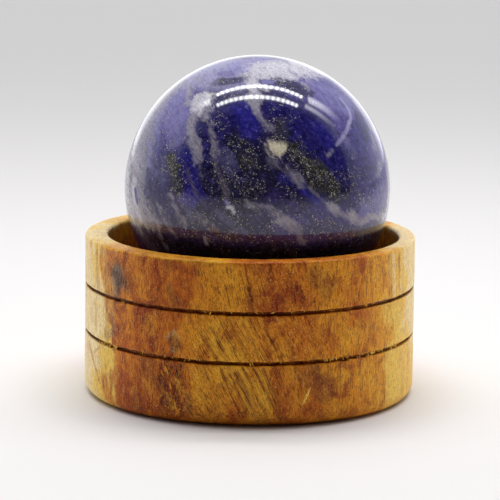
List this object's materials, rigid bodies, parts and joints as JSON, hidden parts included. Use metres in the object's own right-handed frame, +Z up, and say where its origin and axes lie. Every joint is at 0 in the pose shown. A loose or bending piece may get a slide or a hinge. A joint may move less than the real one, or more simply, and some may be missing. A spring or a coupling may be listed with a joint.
{
  "type": "decorative sphere",
  "caption": "Polished lapis lazuli ball resting in a turned wooden cup stand with two grooves round its side.",
  "frame": {"origin": "middle of the stand's flat underside, on the surface that it stands on", "axes": "+Z up out of the cup's mouth, -Y towards the front, +X to the right as seen from the front"},
  "size_m": [0.0754, 0.0754, 0.0761],
  "materials": {
    "lapis": "mirror polished",
    "turned_wood": "sanded and oiled, open pores"
  },
  "bodies": {
    "root": {"sphere": "lapis", "stand": "turned_wood"}
  },
  "joints": []
}
